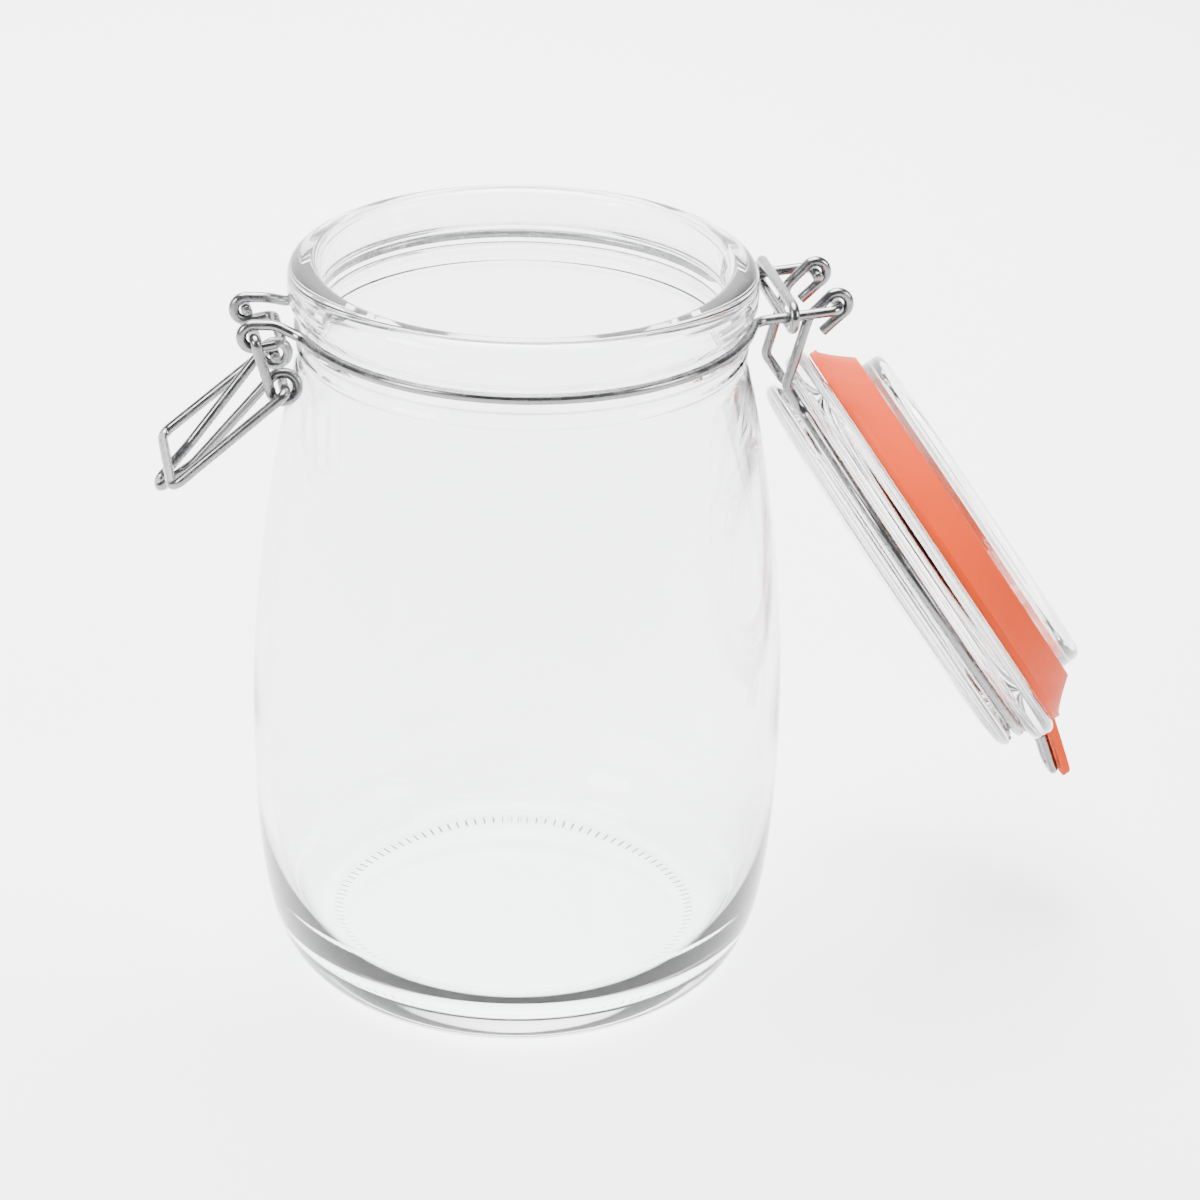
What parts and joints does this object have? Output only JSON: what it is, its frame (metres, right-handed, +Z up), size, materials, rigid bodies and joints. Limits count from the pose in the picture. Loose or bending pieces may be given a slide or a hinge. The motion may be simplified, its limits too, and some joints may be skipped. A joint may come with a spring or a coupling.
{
  "type": "lidded glass canister",
  "caption": "Barrel-shaped glass storage jar with a hinged glass lid, rubber sealing ring and a wire lever latch, shown open.",
  "frame": {"origin": "centre of the jar's underside, where it stands", "axes": "+Z up along the jar's axis, +X towards the hinge, -X towards the latch, Y along the hinge pins"},
  "size_m": [0.2108, 0.1158, 0.1616],
  "materials": {
    "glass": "clear, polished",
    "wire": "bright drawn stainless wire",
    "seal": "smooth matte"
  },
  "bodies": {
    "jar": {"jar_glass": "glass", "collar_wire": "wire", "keeper_ring": "wire"},
    "lid": {"lid_glass": "glass", "gasket": "seal", "lid_wire": "wire"},
    "lever": {"lever": "wire"},
    "bail": {"bail": "wire"}
  },
  "joints": [
    {"name": "lid_hinge", "type": "hinge", "parent": "jar", "child": "lid", "pos_m": [0.065, 0, 0.152], "axis": [0, -1, 0], "range_deg": [0, 236]},
    {"name": "lever_pivot", "type": "hinge", "parent": "jar", "child": "lever", "pos_m": [-0.057, 0, 0.1504], "axis": [0, 1, 0], "range_deg": [0, 165]},
    {"name": "bail_pivot", "type": "hinge", "parent": "lever", "child": "bail", "pos_m": [-0.0512, 0, 0.1396], "axis": [0, 1, 0], "range_deg": [0, 117.6]}
  ]
}
